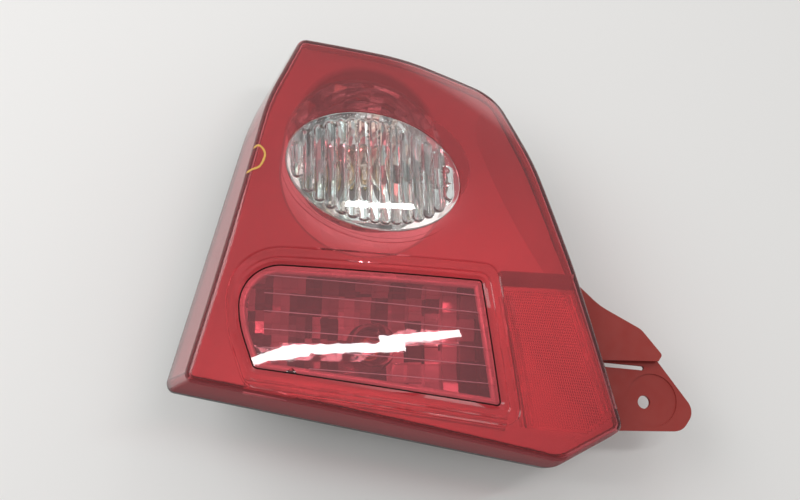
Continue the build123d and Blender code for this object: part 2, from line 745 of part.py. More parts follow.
# Stop bowl: a tube in the shape of the brake window over a floor of stepped facets
with BuildPart() as stop_space:
    add(facet_block(0))
    extrude(stop_opening, amount=SIDE_TOP, mode=Mode.INTERSECT)
with BuildPart() as stop_reflector:
    add(facet_block(STOP_WALL))
    extrude(stop_tube, amount=SIDE_TOP, mode=Mode.INTERSECT)
    for place in stop_tabs:
        anchor = place + (Vector(STOP_X, STOP_Y) - place) * TAB_ROOT
        with BuildSketch(Plane.XY.offset(TAB_Z)):
            SlotCenterPoint((place + anchor) / 2, place, TAB_WIDTH)
        extrude(amount=TAB_WALL)
    add(stop_space.part, mode=Mode.SUBTRACT)
    add(bezel_core(bezel_back), mode=Mode.INTERSECT)
    with BuildSketch(Plane.XY):
        with Locations((STOP_X, STOP_Y)):
            Circle(SOCKET_HOLE_R)
        with Locations(*stop_tabs):
            Circle(SCREW_R + SCREW_CLEAR)
    extrude(amount=SIDE_TOP, mode=Mode.SUBTRACT)
stop_reflector.part.label = "stop_reflector"
export_step(stop_reflector.part, "parts/stop_reflector.step")

# Housing: a shallow tub with the glue groove, a cup for the turn bowl, collars, bosses and ribs
with BuildPart() as housing:
    extrude(lens_outline(FLANGE_Z, 0), amount=SEAM_Z - FLANGE_Z)
    extrude(lens_outline(PAN_Z, PAN_INSET), amount=FLANGE_Z - PAN_Z)
    extrude(lens_outline(PAN_Z + PAN_WALL, PAN_INSET + PAN_WALL), amount=SEAM_Z, mode=Mode.SUBTRACT)
    with BuildSketch(Plane.XY.offset(GROOVE_Z)):
        add(lens_outline(PAN_Z, TONGUE_IN - GROOVE_CLEAR))
        add(lens_outline(PAN_Z, LENS_WALL + GROOVE_CLEAR), mode=Mode.SUBTRACT)
    extrude(amount=SEAM_Z, mode=Mode.SUBTRACT)
    extrude(stiffeners.sketch, amount=-STIFFENER_H)
    with BuildSketch(Plane((BOWL_X, BOWL_Y, PAN_Z + PAN_WALL))):
        SlotCenterToCenter(BOWL_STRETCH, 2 * CUP_R, rotation=90)
    extrude(amount=CUP_Z - PAN_Z - PAN_WALL)
    with BuildSketch(Plane((BOWL_X, BOWL_Y, CUP_Z + PAN_WALL))):
        SlotCenterToCenter(BOWL_STRETCH, 2 * (CUP_R - PAN_WALL), rotation=90)
    extrude(amount=SEAM_Z, mode=Mode.SUBTRACT)
    for x, y in ((BOWL_X, BOWL_Y), (STOP_X, STOP_Y)):
        with BuildSketch(Plane((x, y, COLLAR_Z))):
            Circle(COLLAR_R)
        extrude(until=Until.NEXT)
        with BuildSketch(Plane((x, y, COLLAR_Z))):
            Circle(SOCKET_HOLE_R)
        extrude(amount=SEAM_Z - COLLAR_Z, mode=Mode.SUBTRACT)
    with BuildSketch(Plane.XY.offset(PAN_Z + PAN_WALL)):
        with Locations(*turn_tabs, *stop_tabs):
            Circle(BOSS_R)
    extrude(amount=TAB_Z - PAN_Z - PAN_WALL)
    with BuildSketch(Plane.XY.offset(TAB_Z)):
        with Locations(*turn_tabs, *stop_tabs):
            Circle(SCREW_R)
    extrude(amount=-SCREW_REACH, mode=Mode.SUBTRACT)
    with BuildSketch(Plane.XY.offset(PAN_Z)):
        with Locations(*bracket_screw_places):
            Circle(BOSS_R)
    extrude(amount=TAB_Z - PAN_Z)
    with BuildSketch(Plane.XY.offset(PAN_Z)):
        with Locations(*bracket_screw_places):
            Circle(SCREW_R)
    extrude(amount=SCREW_REACH, mode=Mode.SUBTRACT)
    for place in (UPPER_PIN, OUTER_PIN):
        with BuildSketch(Plane((place.X, place.Y, PIN_BOSS_Z))):
            Circle(PIN_BOSS_R)
        extrude(amount=PAN_Z + PAN_WALL - PIN_BOSS_Z)
        with BuildSketch(Plane((place.X, place.Y, PIN_BOSS_Z))):
            Circle(PIN_STUD_R)
        extrude(amount=PIN_STUD_L, mode=Mode.SUBTRACT)
    for place in VENT_PLACES:
        with BuildSketch(Plane((place.X, place.Y, PAN_Z))):
            Circle(VENT_R)
        extrude(amount=VENT_END_Z - PAN_Z)
        with BuildSketch(Plane((place.X, place.Y, VENT_END_Z))):
            Circle(VENT_BORE_R)
        extrude(amount=PAN_Z + PAN_WALL - VENT_END_Z, mode=Mode.SUBTRACT)
housing.part.label = "housing"
export_step(housing.part, "parts/housing.step")

# Sealant bead under the lens tongue
with BuildPart() as lens_seal:
    with BuildSketch(Plane.XY.offset(GROOVE_Z)):
        add(lens_outline(PAN_Z, TONGUE_IN - GROOVE_CLEAR))
        add(lens_outline(PAN_Z, LENS_WALL + GROOVE_CLEAR), mode=Mode.SUBTRACT)
    extrude(amount=TONGUE_Z - GROOVE_Z)
lens_seal.part.label = "lens_seal"
export_step(lens_seal.part, "parts/lens_seal.step")

# Bulbs, sockets and seals of the two lights
for light, x, y, coils in (("turn", BOWL_X, BOWL_Y, 1), ("stop", STOP_X, STOP_Y, 2)):
    pieces = {
        "bulb_glass": bulb_glass(x, y),
        "bulb_cap": bulb_cap(x, y),
        "filament": filaments(x, y, coils),
        "socket": bulb_socket(x, y),
        "socket_seal": socket_seal(x, y),
        "contacts": contact_blades(x, y, coils + 1),
    }
    for name, piece in pieces.items():
        piece.label = f"{light}_{name}"
        export_step(piece, f"parts/{piece.label}.step")

# Mounting bracket: ear plate with a dished screw seat, a step up to the fin, and a slit under the step
with BuildPart() as mounting_bracket:
    with BuildSketch(Plane.XY.offset(PLATE_BACK)):
        with BuildLine():
            FilletPolyline(*EAR, radius=EAR_RADII, close=True)
        make_face()
    extrude(amount=PLATE)
    with BuildSketch(Plane.XY.offset(PLATE_BACK)):
        with BuildLine():
            Polyline(*STEP, close=True)
        make_face()
    extrude(amount=FIN_Z - PLATE_BACK)
    with BuildSketch(Plane.XY.offset(FIN_Z)):
        with BuildLine():
            FilletPolyline(*FIN, radius=FIN_RADII, close=True)
        make_face()
    extrude(amount=-PLATE)
    extrude(lens_outline(PAN_Z, PAN_INSET - BRACKET_CLEAR), amount=FLANGE_Z, mode=Mode.SUBTRACT)
    with BuildSketch(Plane((DISH_X, DISH_Y, PLATE_BACK))):
        Circle(DISH_R)
    extrude(amount=-DISH_DEPTH)
    with BuildSketch(Plane((DISH_X, DISH_Y, 0))):
        Circle(DISH_R - PLATE / 2)
    extrude(amount=DISH_DEPTH, mode=Mode.SUBTRACT)
    with BuildSketch(Plane.XY.offset(-PLATE)):
        Circle(HOLE_R)
        with Locations(*bracket_screw_places):
            Circle(SCREW_R + SCREW_CLEAR)
        with Locations((SLIT_END_X - SLIT_L / 2, STEP_Y - PLATE - SLIT_W)):
            SlotOverall(SLIT_L, SLIT_W, rotation=SLIT_TILT)
    extrude(amount=2 * PLATE, mode=Mode.SUBTRACT)
mounting_bracket.part.label = "mounting_bracket"
export_step(mounting_bracket.part, "parts/mounting_bracket.step")

# Screws of the bracket and of both bowls
bracket_screws = screws(bracket_screw_places, PLATE_BACK, 1)
bracket_screws.label = "bracket_screws"
export_step(bracket_screws, "parts/bracket_screws.step")
reflector_screws = screws(turn_tabs + stop_tabs, TAB_Z + TAB_WALL, -1)
reflector_screws.label = "reflector_screws"
export_step(reflector_screws, "parts/reflector_screws.step")

# Locating pins that plug into the car body
for name, place in (("upper_locating_pin", UPPER_PIN), ("outer_locating_pin", OUTER_PIN)):
    pin = locating_pin(place)
    pin.label = name
    export_step(pin, f"parts/{name}.step")

# Breather caps over the housing spigots
with BuildPart() as vent_caps:
    for place in VENT_PLACES:
        with BuildSketch(Plane((place.X, place.Y, PAN_Z - VENT_GAP))):
            Circle(VENT_CAP_R)
            Circle(VENT_R, mode=Mode.SUBTRACT)
        extrude(amount=VENT_END_Z - PAN_Z + VENT_GAP)
        with BuildSketch(Plane((place.X, place.Y, VENT_END_Z))):
            Circle(VENT_CAP_R)
        extrude(amount=-VENT_ROOF)
vent_caps.part.label = "vent_caps"
export_step(vent_caps.part, "parts/vent_caps.step")

# Foam ring that seals the lamp against the car body
with BuildPart() as rear_gasket:
    with BuildSketch(Plane((GASKET_X, GASKET_Y, PAN_Z))):
        Ellipse(GASKET_A, GASKET_B)
        Ellipse(GASKET_A - GASKET_W, GASKET_B - GASKET_W, mode=Mode.SUBTRACT)
    extrude(amount=-GASKET_H)
rear_gasket.part.label = "rear_gasket"
export_step(rear_gasket.part, "parts/rear_gasket.step")
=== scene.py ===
import math

import bmesh
import bpy
import numpy as np
from mathutils import Matrix, Vector
from mathutils.bvhtree import BVHTree


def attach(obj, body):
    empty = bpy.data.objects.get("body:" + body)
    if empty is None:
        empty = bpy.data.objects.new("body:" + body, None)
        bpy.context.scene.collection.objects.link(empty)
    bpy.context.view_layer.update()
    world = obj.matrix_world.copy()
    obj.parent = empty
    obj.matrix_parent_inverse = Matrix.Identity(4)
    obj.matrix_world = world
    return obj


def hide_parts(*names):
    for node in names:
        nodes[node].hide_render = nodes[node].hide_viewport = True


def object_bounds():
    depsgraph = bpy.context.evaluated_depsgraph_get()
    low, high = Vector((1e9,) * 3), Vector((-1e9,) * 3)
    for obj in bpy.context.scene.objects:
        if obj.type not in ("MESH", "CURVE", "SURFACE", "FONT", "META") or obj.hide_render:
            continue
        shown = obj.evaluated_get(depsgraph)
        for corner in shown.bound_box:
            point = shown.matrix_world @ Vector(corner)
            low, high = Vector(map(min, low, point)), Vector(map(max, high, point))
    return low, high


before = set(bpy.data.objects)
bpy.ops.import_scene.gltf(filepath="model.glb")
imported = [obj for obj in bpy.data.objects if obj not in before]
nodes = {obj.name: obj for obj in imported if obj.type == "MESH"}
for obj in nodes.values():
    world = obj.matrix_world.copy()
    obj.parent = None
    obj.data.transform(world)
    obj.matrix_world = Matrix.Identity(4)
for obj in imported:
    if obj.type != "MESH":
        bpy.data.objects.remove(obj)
cad_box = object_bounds()

MM = 0.001
FAR = 1000.0
DOWN = Vector((0.0, 0.0, -1.0))

# Domed front of the lens, in millimetres as in the part's source
LENS_TOP = 60.0
DOME_X, DOME_Y = -214.0, 9.0
CROWN_R, CROWN_REACH, SHOULDER_R = 750.0, 165.0, 110.0
STEEPEST_SINE = 0.98
LENS_WALL = 3.0

# Bezel, and how far the foot of the trim on it is sunk
BEZEL_DROP = 9.0
TRIM_SINK = 0.3
TRIM_PITCH = 3.0
BEAD_TURNS, BEAD_FOOT = 9, 0.6

# Clear turn window, with the mirrored ground and the brow of painted shade behind it
TURN_X, TURN_Y = -171.0, 118.5
TURN_A, TURN_B = 49.0, 34.5
TURN_TILT = math.radians(-9.8)
TURN_PROUD, TURN_WALL, TURN_LIP = 0.8, 2.6, 1.0
TURN_RINGS, TURN_SEGMENTS = 96, 384
TURN_CORE, TURN_FLAT = 0.004, 0.955
RIM_RINGS, RIM_START, RIM_POWER = 12, 0.25, 1.5
FLUTE_MARGIN, FLUTE_COUNT, FLUTE_DEPTH = 4.0, 15, 1.4
MIRROR_X, MIRROR_Y, MIRROR_A = -165.5, 131.0, 51.0
BROW_SHADE_X, BROW_SHADE_Y, BROW_SHADE_A, BROW_SHADE_B = -173.0, 143.0, 42.0, 45.0

# Reflex panel, the step over it and the beads beside it
REFLEX = [(-99.0, 57.0), (-87.0, -20.5), (-51.0, -23.0), (-33.0, -12.0), (-56.0, 58.0)]
REFLEX_WALL, REFLEX_GAP = 3.2, 0.05
REFLEX_RUN = 1.18
REFLEX_RIM = 5
PRISM_PITCH, PRISM_DEPTH = 1.5, 0.3
STEP_LOW, STEP_HIGH, STEP_TOP = 1.2, 8.2, 4.4
STEP_WIDTH, STEP_REACH = 1.0, 1.0
REFLEX_BEAD, REFLEX_BEADS = 1.0, (-1.4, 1.6, 4.6)
BEAD_START, BEAD_END = 0.06, 0.03

# Brake window, its pane and the trim behind it
WINDOW = [(-245.5, 65.5), (-243.5, 30.0), (-235.0, 6.5), (-99.0, -10.5), (-109.0, 62.0)]
WINDOW_RADII = [24.0, 60.0, 5.0, 4.0, 4.0]
CORNER_PITCH, CORNER_STEPS = 1.5, 4
PANE_DEPTH, PANE_BACK, PANE_INSET = 3.6, 6.2, 6.0
LIP_INSET, LIP_WIDTH, LIP_DEPTH, LIP_FLAT = 1.2, 5.0, 9.6, 0.7
# Black strip of painted shade around the pane, at the foot of its step
JOINT_OUTER, JOINT_INNER = 1.7, 2.5
JOINT_CREST, JOINT_HEIGHT = 0.15, 0.1
LEDGE_OFFSETS, LEDGE_R, LEDGE_RUN = (3.4, 6.2, 9.0), 0.9, 2.0
LINE_PITCH, LINE_SLOPE = 9.5, -0.05
LINE_START, LINE_END, LINE_STEP = -229.0, -100.0, 1.0
LINE_LOWEST, LINE_HIGHEST, LINE_PLACES = -9.0, 71.0, 8
LINE_HALF, LINE_SINK, LINE_RISE = 0.22, 0.1, 0.75
EDGE_TOLERANCE = 0.01

# Paint pen mark
MARK = [
    (-236.6, 127.6),
    (-234.6, 129.2),
    (-232.1, 127.8),
    (-230.5, 123.7),
    (-233.0, 117.1),
    (-237.6, 114.6),
    (-240.2, 112.9),
]
MARK_STEPS = 10
MARK_WIDTH, MARK_RISE = 1.2, 0.12
MARK_SECTION = [(-0.5, -0.1), (-0.36, 0.75), (0.0, 1.0), (0.36, 0.75), (0.5, -0.1), (0.0, -0.3)]
MARK_WAVES = ((0.12, 1.7), (0.08, 0.6))
MARK_TAPER, MARK_TIP = 4.0, 0.35


# Materials

# Ranges that values are carried from or to
MIDDLE = 0.5
UNIT, FALLING, UPPER_HALF = (0.0, 1.0), (1.0, 0.0), (MIDDLE, 1.0)
HALVES, BOTH_WAYS = (-0.5, 0.5), (-1.0, 1.0)
THREE_STOPS = (0.0, MIDDLE, 1.0)

# Where most values of a noise lie, and the detail of a fine one
NOISE_RANGE = (0.3, 0.7)
FINE = 2.0

# Edges of a tint in plan and in depth, in metres, and how far down a wall faces
TINT_BLUR = 0.0006
PANE_FADE = (0.0001, 0.0003)
LOW_WALL = (-0.9, -0.6)


class Shader:
    """One material and short calls to add nodes to it."""

    def __init__(self, name):
        self.material = bpy.data.materials.new(name)
        self.material.use_nodes = True
        self.tree = self.material.node_tree
        self.body = self.tree.nodes["Principled BSDF"]
        self.output = self.tree.nodes["Material Output"]
        self.clear = None

    def node(self, kind, settings=None, **inputs):
        made = self.tree.nodes.new(kind)
        for key, value in (settings or {}).items():
            setattr(made, key, value)
        for key, value in inputs.items():
            self.put(made, key.replace("_", " "), value)
        return made

    def put(self, node, socket, value):
        if isinstance(value, bpy.types.NodeSocket):
            self.tree.links.new(value, node.inputs[socket])
        else:
            node.inputs[socket].default_value = value

    def set(self, **inputs):
        for key, value in inputs.items():
            self.put(self.body, key.replace("_", " "), value)

    def place(self):
        return self.node("ShaderNodeTexCoord").outputs["Object"]

    def normal(self):
        return self.node("ShaderNodeNewGeometry").outputs["Normal"]

    def along(self, vector, axis):
        return self.node("ShaderNodeSeparateXYZ", Vector=vector).outputs[axis]

    def number(self, operation, *values):
        """Result of an operation on numbers."""
        made = self.node("ShaderNodeMath", {"operation": operation})
        for index, value in enumerate(values):
            self.put(made, index, value)
        return made.outputs["Value"]

    def vector(self, operation, *values, result="Vector"):
        """Result of an operation on vectors."""
        made = self.node("ShaderNodeVectorMath", {"operation": operation})
        for index, value in enumerate(values):
            self.put(made, index, value)
        return made.outputs[result]

    def dimmed(self, color, light):
        """Color that is made darker or brighter."""
        made = self.node("ShaderNodeVectorMath", {"operation": "SCALE"}, Vector=color, Scale=light)
        return made.outputs["Vector"]

    def noise(self, scale, detail=4.0, stretch=None):
        vector = self.place()
        if stretch:
            vector = self.node("ShaderNodeMapping", Vector=vector, Scale=stretch).outputs["Vector"]
        return self.node("ShaderNodeTexNoise", Vector=vector, Scale=scale, Detail=detail).outputs["Fac"]

    def span(self, value, results, limits=NOISE_RANGE):
        """Value between limits, carried over to a range of results."""
        made = self.node("ShaderNodeMapRange", Value=value)
        for socket, limit in zip(("From Min", "From Max", "To Min", "To Max"), (*limits, *results)):
            self.put(made, socket, limit)
        return made.outputs["Result"]

    def ramp(self, value, places, colors):
        """Colors that follow each other at places along a value."""
        made = self.node("ShaderNodeValToRGB", Fac=value)
        while len(made.color_ramp.elements) < len(places):
            made.color_ramp.elements.new(MIDDLE)
        for element, place, color in zip(made.color_ramp.elements, places, colors):
            element.position = place
            element.color = (*color, 1.0)
        return made.outputs["Color"]

    def oval(self, x, y, a, b, tilt):
        """Reach from the middle of an oval in plan, which is 1 on its edge, and how far up it."""
        flat = self.node("ShaderNodeMapping", {"vector_type": "TEXTURE"}, Vector=self.place())
        self.put(flat, "Location", (x * MM, y * MM, 0.0))
        self.put(flat, "Rotation", (0.0, 0.0, tilt))
        self.put(flat, "Scale", (a * MM, b * MM, FAR))
        spot = flat.outputs["Vector"]
        return self.vector("LENGTH", spot, result="Value"), self.along(spot, "Y")

    def within(self, corners):
        """1 inside a convex anticlockwise outline in plan and 0 outside it."""
        place, share = self.place(), 1.0
        for (x0, y0), (x1, y1) in zip(corners, corners[1:] + corners[:1]):
            inward = Vector((y0 - y1, x1 - x0, 0.0)).normalized()
            edge = inward.dot((x0, y0, 0.0)) * MM
            side = self.vector("DOT_PRODUCT", place, inward, result="Value")
            share = self.number("MULTIPLY", self.span(side, UNIT, (edge, edge + TINT_BLUR)), share)
        return share

    def paler(self, deep, pale):
        """Lighter tint in the sunken pane of the brake window."""
        centre = Vector((DOME_X, DOME_Y, LENS_TOP - CROWN_R)) * MM
        reach = self.vector("DISTANCE", self.place(), centre, result="Value")
        level = (CROWN_R - PANE_DEPTH) * MM
        sunken = self.span(reach, FALLING, [level + fade for fade in PANE_FADE])
        share = self.number("MULTIPLY", sunken, self.within(WINDOW))
        self.set(Base_Color=self.ramp(share, UNIT, (deep, pale)))
        self.put(self.clear, "Color", self.ramp(share, UNIT, (tint_of_face(deep), tint_of_face(pale))))

    def lean(self, amount, clear):
        """Low walls lean back a little and are more milky."""
        normal = self.normal()
        low = self.span(self.along(normal, "Y"), FALLING, LOW_WALL)
        rise = self.node("ShaderNodeCombineXYZ", Z=self.number("MULTIPLY", low, amount)).outputs["Vector"]
        bump = self.body.inputs["Normal"].links[0].from_node
        self.put(bump, "Normal", self.vector("ADD", normal, rise))
        self.set(Transmission_Weight=self.span(low, clear, UNIT))

    def bump(self, height, strength, distance):
        made = self.node("ShaderNodeBump", Height=height, Strength=strength, Distance=distance)
        self.set(Normal=made.outputs["Normal"])

    def cells(self, place, scale, disorder):
        """Square cells, somewhat out of line."""
        kind = {"distance": "CHEBYCHEV"}
        return self.node("ShaderNodeTexVoronoi", kind, Vector=place, Scale=scale, Randomness=disorder)

    def facets(self, size, disorder, slope, strength):
        """Small pyramids that break up what a mirror shows."""
        cells = self.cells(self.place(), 1 / size, disorder)
        self.bump(cells.outputs["Distance"], strength, size * slope)

    def tiles(self, sizes, disorder, tilt):
        """Flat tiles that each lean their own way, and a tone for each that is painted reflection of what
        the tile shows.
        """
        spots = self.node("ShaderNodeMapping", Vector=self.place(), Scale=[1 / size for size in sizes])
        color = self.cells(spots.outputs["Vector"], 1.0, disorder).outputs["Color"]
        lean = self.vector("MULTIPLY_ADD", color, (tilt, tilt, 0.0), (-tilt / 2, -tilt / 2, 0.0))
        self.set(Normal=self.vector("NORMALIZE", self.vector("ADD", self.normal(), lean)))
        return self.along(color, "Z")

    def lets_lamps_through(self, color):
        """Lamps light what lies behind the glass."""
        path = self.node("ShaderNodeLightPath")
        self.clear = self.node("ShaderNodeBsdfTransparent", Color=(*color, 1.0))
        mix = self.node("ShaderNodeMixShader", Fac=path.outputs["Is Shadow Ray"])
        self.tree.links.new(self.body.outputs[0], mix.inputs[1])
        self.tree.links.new(self.clear.outputs[0], mix.inputs[2])
        self.tree.links.new(mix.outputs[0], self.output.inputs["Surface"])


def tint_of_face(color):
    """Tint of one face of a wall, where its two faces together give the color."""
    return [math.sqrt(value) for value in color]


def shade(color, share):
    return [value * share for value in color]


# Clear plastic and glass
PLASTIC_IOR, GLASS_IOR = 1.49, 1.5
HAZE_SCALE, HAZE_ROUGHER = 35.0, 2.5
WAVE_SCALE, WAVE_HEIGHT = 110.0, 0.00002


def clear_plastic(name, color, roughness, ior=PLASTIC_IOR):
    shader = Shader(name)
    shader.set(Base_Color=(*color, 1.0), Transmission_Weight=1.0, IOR=ior)
    haze = shader.noise(HAZE_SCALE)
    shader.set(Roughness=shader.span(haze, (roughness, roughness * HAZE_ROUGHER)))
    shader.bump(shader.noise(WAVE_SCALE, FINE), 1.0, WAVE_HEIGHT)
    shader.lets_lamps_through(tint_of_face(color))
    return shader


# Red lens: its tint, the tint of the pane, and how its low walls lean and clear
RED, PALE_RED = (0.62, 0.14, 0.16), (0.69, 0.215, 0.25)
WALL_LEAN, WALL_CLEAR = 0.62, (0.91, 0.6)


def red_plastic(name):
    shader = clear_plastic(name, RED, roughness=0.01)
    shader.lean(WALL_LEAN, WALL_CLEAR)
    shader.paler(RED, PALE_RED)
    return shader


# Metallised plastic, even or in tiles whose tones are painted reflection, with sizes in metres
METAL_SCALE, METAL_STOPS, METAL_DULL = 60.0, (0.35, 0.65), 0.86
TROUGH_TILES, TROUGH_STOPS, TROUGH_PAINTED_DARK = (0.0095, 0.012, 0.02), (0.3, 0.92), 0.07
TILE_TILT, TILE_DISORDER = 0.5, 0.12


def metallised(name, color, roughness, metal):
    shader = Shader(name)
    cloud = shader.noise(METAL_SCALE)
    shader.set(Base_Color=shader.ramp(cloud, METAL_STOPS, (shade(color, METAL_DULL), color)))
    shader.set(Metallic=metal, Roughness=shader.span(cloud, roughness))
    return shader


def tiled_metal(name, color, roughness, metal):
    """Metallised finish in tiles whose many tones are painted reflection."""
    shader = Shader(name)
    tone = shader.tiles(TROUGH_TILES, TILE_DISORDER, TILE_TILT)
    # Painted reflection: each tile's tone runs from a dark to a bright copy of the colour
    shader.set(Base_Color=shader.ramp(tone, TROUGH_STOPS, (shade(color, TROUGH_PAINTED_DARK), color)))
    shader.set(Metallic=metal, Roughness=shader.span(shader.noise(METAL_SCALE), roughness))
    return shader


# Turn bowl and bezel: edge of the mirrored ground, and each finish from there to the rest, with tile
# tones of painted reflection in the bowl, a brow of painted shade on the bezel and painted light across
# the bezel
MIRROR_EDGE = (1.0, 1.04)
BOWL_TILES, BOWL_PAINTED_LIGHT = (0.0075, 0.012, 0.02), (1.18, 0.36)
BOWL_TURN, BOWL_METAL, BOWL_ROUGHNESS = (-0.1, 0.3), (0.8, 0.15), (0.05, 0.42)
BROW_SHADE_EDGE, BROW_SHADE_RISE = (0.9, 1.0), (0.0, 0.3)
BEZEL_METAL, BEZEL_ROUGHNESS = (0.4, 1.0), (0.41, 0.08)
PAINTED_LIGHT_SLANT, PAINTED_LIGHT_REACH, PAINTED_LIGHT_LEVELS = (1.0, -1.6, 0.0), (-0.32, -0.225), (0.94, 1.4)
FACET_SIZE, FACET_DISORDER, FACET_SLOPE = 0.011, 0.15, 0.14


def bowl_finish(name, dark, bright, satin):
    """Mirror finish under the clear window, dark above it and satin below it, in tiles whose tones are
    painted reflection.
    """
    shader = Shader(name)
    reach, up = shader.oval(MIRROR_X, MIRROR_Y, MIRROR_A, TURN_B, TURN_TILT)
    outside = shader.span(reach, UNIT, MIRROR_EDGE)
    side = shader.number("MULTIPLY", outside, shader.span(up, HALVES[::-1], BOWL_TURN))
    finish = shader.span(side, UNIT, HALVES)
    shader.set(Metallic=shader.span(finish, BOWL_METAL, UPPER_HALF))
    shader.set(Roughness=shader.span(finish, BOWL_ROUGHNESS, UPPER_HALF))
    # Painted reflection: each tile dims or brightens the colour
    tone = shader.tiles(BOWL_TILES, TILE_DISORDER, TILE_TILT)
    tone = shader.number("MULTIPLY", tone, shader.span(finish, FALLING, UPPER_HALF))
    color = shader.ramp(finish, THREE_STOPS, (dark, bright, satin))
    shader.set(Base_Color=shader.dimmed(color, shader.span(tone, BOWL_PAINTED_LIGHT, UNIT)))
    return shader


def bezel_finish(name, dark, bright, satin):
    """Satin plate, mirrored under the clear window, with painted shade on a brow over the bowl and
    painted light brighter toward the lower right.
    """
    shader = Shader(name)
    # Painted shade: the brow over the bowl takes the dark colour, in place of a deeper recess
    reach, up = shader.oval(BROW_SHADE_X, BROW_SHADE_Y, BROW_SHADE_A, BROW_SHADE_B, 0.0)
    brow_shade = shader.number(
        "MULTIPLY", shader.span(reach, FALLING, BROW_SHADE_EDGE), shader.span(up, UNIT, BROW_SHADE_RISE)
    )
    reach, _ = shader.oval(MIRROR_X, MIRROR_Y, MIRROR_A, TURN_B, TURN_TILT)
    inner = shader.span(reach, FALLING, MIRROR_EDGE)
    finish = shader.span(shader.number("SUBTRACT", inner, brow_shade), UNIT, BOTH_WAYS)
    color = shader.ramp(finish, THREE_STOPS, (dark, satin, bright))
    # Painted light: the colour is scaled brighter toward the lower right of the plate
    along = shader.vector("DOT_PRODUCT", shader.place(), PAINTED_LIGHT_SLANT, result="Value")
    shader.set(Base_Color=shader.dimmed(color, shader.span(along, PAINTED_LIGHT_LEVELS, PAINTED_LIGHT_REACH)))
    shader.set(Metallic=shader.span(finish, BEZEL_METAL, UPPER_HALF))
    shader.set(Roughness=shader.span(finish, BEZEL_ROUGHNESS, UPPER_HALF))
    shader.facets(FACET_SIZE, FACET_DISORDER, FACET_SLOPE, inner)
    return shader


# Moulded plastic, rubber and foam, with the depth of their grain in metres
MOULD_SCALE, MOULD_STOPS = 45.0, (0.35, 0.75)
MOULD_PALER, MOULD_DUST = 1.5, 0.008
MOULD_SMOOTHER, MOULD_ROUGHER = 0.08, 0.1
GRAIN_STRENGTH = 0.5


def moulded(name, color, roughness=0.5, grain=900.0, depth=0.00006):
    shader = Shader(name)
    cloud = shader.noise(MOULD_SCALE)
    worn = [min(value * MOULD_PALER + MOULD_DUST, 1.0) for value in color]
    shader.set(Base_Color=shader.ramp(cloud, MOULD_STOPS, (color, worn)))
    shader.set(Roughness=shader.span(cloud, (roughness - MOULD_SMOOTHER, roughness + MOULD_ROUGHER)))
    shader.bump(shader.noise(grain, FINE), GRAIN_STRENGTH, depth)
    return shader


# Turned and drawn metal
STEEL_STRETCH, STEEL_DETAIL = (60.0, 60.0, 1500.0), 3.0
STEEL_DULL, STEEL_ROUGHER = 0.7, 0.15


def steel(name, color, roughness):
    shader = Shader(name)
    lines = shader.noise(1.0, STEEL_DETAIL, STEEL_STRETCH)
    shader.set(Metallic=1.0)
    shader.set(Base_Color=shader.ramp(lines, NOISE_RANGE, (shade(color, STEEL_DULL), color)))
    shader.set(Roughness=shader.span(lines, (roughness, roughness + STEEL_ROUGHER)))
    return shader


# Paint, with the height of its orange peel in metres
PAINT_SCALE, PAINT_STOPS = 28.0, (0.35, 0.7)
PAINT_GLOSS_SCALE, PAINT_ROUGHNESS, PAINT_SPECULAR = 140.0, (0.42, 0.6), 0.25
PEEL_SCALE, PEEL_STRENGTH, PEEL_HEIGHT = 420.0, 0.25, 0.0001


def painted(name, color, dust):
    shader = Shader(name)
    shader.set(Base_Color=shader.ramp(shader.noise(PAINT_SCALE), PAINT_STOPS, (color, dust)))
    gloss = shader.noise(PAINT_GLOSS_SCALE)
    shader.set(Roughness=shader.span(gloss, PAINT_ROUGHNESS), Specular_IOR_Level=PAINT_SPECULAR)
    shader.bump(shader.noise(PEEL_SCALE, FINE), PEEL_STRENGTH, PEEL_HEIGHT)
    return shader


def dull_black(name):
    shader = moulded(name, (0.004, 0.004, 0.004), roughness=0.9)
    shader.set(Specular_IOR_Level=0.1)
    return shader


red_lens = red_plastic("red_lens")
clear_lens = clear_plastic("clear_lens", (0.96, 0.96, 0.95), roughness=0.005)
red_reflex = clear_plastic("red_reflex", (1.0, 0.8, 0.82), roughness=0.02)
amber_glass = clear_plastic("amber_glass", (0.96, 0.91, 0.84), roughness=0.01, ior=GLASS_IOR)
plain_glass = clear_plastic("bulb_glass", (0.97, 0.97, 0.97), roughness=0.005, ior=GLASS_IOR)
# Its dark colour is painted shade on the brow over the bowl
bezel_metal = bezel_finish(
    "bezel_metal", dark=(0.26, 0.24, 0.23), bright=(0.88, 0.94, 0.94), satin=(0.68, 0.66, 0.65)
)
bowl_metal = bowl_finish(
    "bowl_metal", dark=(0.55, 0.53, 0.53), bright=(0.82, 0.95, 0.95), satin=(0.95, 0.93, 0.92)
)
trough_metal = tiled_metal("trough_metal", (0.95, 0.93, 0.96), roughness=(0.1, 0.16), metal=0.35)
# Darker metal for the reflex step, which is painted shade under the step
shaded_step_metal = metallised("shaded_step_metal", (0.5, 0.48, 0.48), roughness=(0.35, 0.45), metal=0.3)
lip_metal = metallised("lip_metal", (0.95, 0.95, 0.95), roughness=(0.2, 0.3), metal=0.25)
brass = steel("bulb_brass", (0.66, 0.55, 0.32), roughness=0.25)
wire = steel("filament_wire", (0.55, 0.55, 0.56), roughness=0.2)
black_plastic = moulded("housing_black", (0.018, 0.018, 0.019))
sealant = moulded("sealant", (0.02, 0.02, 0.02), roughness=0.35, grain=200.0, depth=0.0002)
grey_plastic = moulded("socket_grey", (0.13, 0.13, 0.135))
rubber = moulded("seal_rubber", (0.016, 0.016, 0.016), roughness=0.7, grain=600.0)
contact_metal = steel("contact_metal", (0.72, 0.6, 0.36), roughness=0.2)
bracket_paint = painted("bracket_paint", (0.29, 0.034, 0.028), dust=(0.32, 0.044, 0.036))
